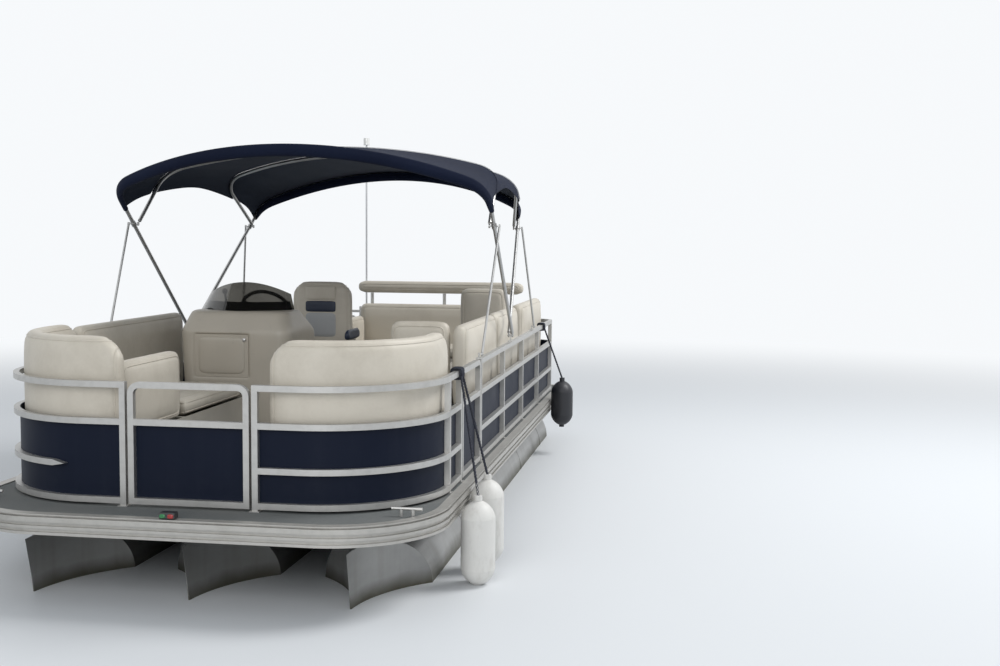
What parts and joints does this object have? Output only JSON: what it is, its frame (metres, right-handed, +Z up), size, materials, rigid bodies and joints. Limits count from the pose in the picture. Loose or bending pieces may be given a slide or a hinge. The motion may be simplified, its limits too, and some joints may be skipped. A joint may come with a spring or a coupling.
{
  "type": "pontoon boat",
  "caption": "Pontoon boat with a railed deck, folding bimini top, lounge seating, helm console and an outboard motor tilted up.",
  "frame": {"origin": "underside of the centre pontoon's keel strip, on the centreline at half the deck's length", "axes": "+Y aft along the hull, +X to port, +Z up"},
  "size_m": [2.847, 7.4399, 3.143],
  "materials": {
    "hull_aluminium": "dull mill finish, streaked below the waterline",
    "deck_vinyl": "matt woven vinyl",
    "trim_aluminium": "anodised, scuffed",
    "rail_aluminium": "satin anodised",
    "navy_panel": "gloss paint",
    "bow_tube": "satin anodised",
    "canopy_cloth": "woven acrylic",
    "moulded_base": "satin moulded plastic",
    "seat_vinyl": "grained marine vinyl",
    "console_shell": "satin gelcoat",
    "smoked_screen": "smoked acrylic",
    "black_trim": "soft matt",
    "pedestal_metal": "satin",
    "motor_bracket": "satin paint",
    "motor_cowl_paint": "gloss paint",
    "propeller_metal": "satin paint",
    "light_housing": "gloss",
    "white_rubber": "soft satin",
    "black_rubber": "soft satin"
  },
  "bodies": {
    "hull": {"port_pontoon": "hull_aluminium", "centre_pontoon": "hull_aluminium", "starboard_pontoon": "hull_aluminium", "cross_members": "hull_aluminium", "motor_pod": "hull_aluminium", "deck": "deck_vinyl", "rub_rail": "trim_aluminium", "fence_port": "rail_aluminium", "fence_starboard": "rail_aluminium", "bimini_mounts": "rail_aluminium", "deck_fittings": "rail_aluminium", "fence_panels": "navy_panel", "bow_bases": "moulded_base", "lounge_base": "moulded_base", "bench_bases": "moulded_base", "bow_back_port": "seat_vinyl", "bow_back_starboard": "seat_vinyl", "lounge_backs": "seat_vinyl", "bench_backs": "seat_vinyl", "console": "console_shell", "windscreen": "smoked_screen", "helm_fittings": "black_trim", "helm_pedestal": "pedestal_metal", "clamp_bracket": "motor_bracket", "bow_light": "light_housing", "stern_light": "light_housing", "bow_fenders": "white_rubber", "stern_fender": "black_rubber"},
    "bow_gate": {"bow_gate": "rail_aluminium", "bow_gate_panel": "navy_panel"},
    "port_gate": {"port_gate": "rail_aluminium", "port_gate_panel": "navy_panel"},
    "stern_gate": {"stern_gate": "rail_aluminium", "stern_gate_panel": "navy_panel"},
    "rear_bow": {"bimini_rear_bow": "bow_tube", "canopy_rear": "canopy_cloth"},
    "front_bow": {"bimini_front_bow": "bow_tube", "canopy_front": "canopy_cloth"},
    "front_inner_bow": {"bimini_front_inner_bow": "bow_tube", "canopy_middle": "canopy_cloth"},
    "rear_inner_bow": {"bimini_rear_inner_bow": "bow_tube"},
    "front_braces": {"front_braces": "bow_tube"},
    "rear_braces": {"rear_braces": "bow_tube"},
    "bow_seat_port": {"bow_seat_port": "seat_vinyl"},
    "bow_seat_starboard": {"bow_seat_starboard": "seat_vinyl"},
    "chaise_seat": {"chaise_seat": "seat_vinyl"},
    "lounge_seat_front": {"lounge_seat_front": "seat_vinyl"},
    "lounge_seat_aft": {"lounge_seat_aft": "seat_vinyl"},
    "bench_seat": {"bench_seat": "seat_vinyl"},
    "bench_side_seat": {"bench_side_seat": "seat_vinyl"},
    "console_door": {"console_door": "console_shell"},
    "steering_wheel": {"steering_wheel": "black_trim"},
    "helm_chair": {"chair_shell": "console_shell", "chair_cushions": "seat_vinyl"},
    "motor_bracket": {"swivel_bracket": "motor_bracket"},
    "motor": {"motor_cowl": "motor_cowl_paint", "motor_leg": "motor_bracket"},
    "propeller": {"propeller": "propeller_metal"},
    "boarding_ladder": {"boarding_ladder": "rail_aluminium"}
  },
  "joints": [
    {"name": "bow_gate", "type": "hinge", "parent": "hull", "child": "bow_gate", "pos_m": [-0.337, -2.751, 1.04], "axis": [0, 0, 1], "range_deg": [0, 90]},
    {"name": "port_gate", "type": "hinge", "parent": "hull", "child": "port_gate", "pos_m": [1.206, -1.16, 1.04], "axis": [0, 0, -1], "range_deg": [0, 90]},
    {"name": "stern_gate", "type": "hinge", "parent": "hull", "child": "stern_gate", "pos_m": [-0.64, 2.751, 1.04], "axis": [0, 0, 1], "range_deg": [0, 90]},
    {"name": "bimini_lean", "type": "hinge", "parent": "hull", "child": "rear_bow", "pos_m": [0, 0.17, 1.502], "axis": [-1, 0, 0], "range_deg": [0, 12]},
    {"name": "bimini_fold", "type": "hinge", "parent": "rear_bow", "child": "front_bow", "pos_m": [0, 0.17, 1.502], "axis": [-1, 0, 0], "range_deg": [0, 91], "deforming": ["canopy_front", "canopy_middle", "canopy_rear"]},
    {"name": "front_inner_bow", "type": "hinge", "parent": "front_bow", "child": "front_inner_bow", "pos_m": [0, -0.73649, 2.29], "axis": [1, 0, 0], "range_deg": [0, 90.1]},
    {"name": "rear_inner_bow", "type": "hinge", "parent": "rear_bow", "child": "rear_inner_bow", "pos_m": [0, 1.17859, 2.29], "axis": [-1, 0, 0], "range_deg": [0, 86.6]},
    {"name": "front_braces", "type": "hinge", "parent": "hull", "child": "front_braces", "pos_m": [0, -1.16, 1.486], "axis": [1, 0, 0], "range_deg": [0, 107]},
    {"name": "rear_braces", "type": "hinge", "parent": "hull", "child": "rear_braces", "pos_m": [0, 1.32, 1.486], "axis": [-1, 0, 0], "range_deg": [0, 95]},
    {"name": "bow_seat_port", "type": "hinge", "parent": "hull", "child": "bow_seat_port", "pos_m": [0.6075, -2.23, 1.1831], "axis": [0, -1, 0], "range_deg": [0, 85]},
    {"name": "bow_seat_starboard", "type": "hinge", "parent": "hull", "child": "bow_seat_starboard", "pos_m": [-0.6075, -2.23, 1.1831], "axis": [0, 1, 0], "range_deg": [0, 85]},
    {"name": "chaise_seat", "type": "hinge", "parent": "hull", "child": "chaise_seat", "pos_m": [-1.0225, -1.33, 1.1831], "axis": [0, -1, 0], "range_deg": [0, 85]},
    {"name": "lounge_seat_front", "type": "hinge", "parent": "hull", "child": "lounge_seat_front", "pos_m": [0.9815, -0.4355, 1.1831], "axis": [0, 1, 0], "range_deg": [0, 85]},
    {"name": "lounge_seat_aft", "type": "hinge", "parent": "hull", "child": "lounge_seat_aft", "pos_m": [0.9815, 0.6755, 1.1831], "axis": [0, 1, 0], "range_deg": [0, 85]},
    {"name": "bench_seat", "type": "hinge", "parent": "hull", "child": "bench_seat", "pos_m": [0.287, 2.4765, 1.1831], "axis": [-1, 0, 0], "range_deg": [0, 85]},
    {"name": "bench_side_seat", "type": "hinge", "parent": "hull", "child": "bench_side_seat", "pos_m": [0.9815, 1.723, 1.1831], "axis": [0, 1, 0], "range_deg": [0, 85]},
    {"name": "console_door", "type": "hinge", "parent": "hull", "child": "console_door", "pos_m": [-0.819, -0.754, 1.4], "axis": [0, 0, -1], "range_deg": [0, 95]},
    {"name": "steering_wheel", "type": "hinge", "parent": "hull", "child": "steering_wheel", "pos_m": [-0.52, -0.12351, 1.65608], "axis": [0, 0.8192, 0.5736], "continuous": true},
    {"name": "chair_swivel", "type": "hinge", "parent": "hull", "child": "helm_chair", "pos_m": [-0.41, 0.67, 1.2], "axis": [0, 0, 1], "continuous": true},
    {"name": "motor_tilt", "type": "hinge", "parent": "hull", "child": "motor_bracket", "pos_m": [0, 3.5, 0.7], "axis": [-1, 0, 0], "range_deg": [0, 66]},
    {"name": "motor_steer", "type": "hinge", "parent": "motor_bracket", "child": "motor", "pos_m": [0, 3.62544, 0.73727], "axis": [0, -0.866, 0.5], "range_deg": [-30, 30]},
    {"name": "propeller_spin", "type": "hinge", "parent": "motor", "child": "propeller", "pos_m": [0, 4.22296, 0.80221], "axis": [0, 0.5, 0.866], "continuous": true},
    {"name": "ladder_swing", "type": "hinge", "parent": "hull", "child": "boarding_ladder", "pos_m": [-0.9, 3.104, 0.834], "axis": [-1, 0, 0], "range_deg": [0, 172]}
  ],
  "couplings": [
    {"joint": "front_inner_bow", "follows": "bimini_fold", "ratio": 0.99},
    {"joint": "rear_inner_bow", "follows": "bimini_fold", "ratio": 0.95}
  ]
}
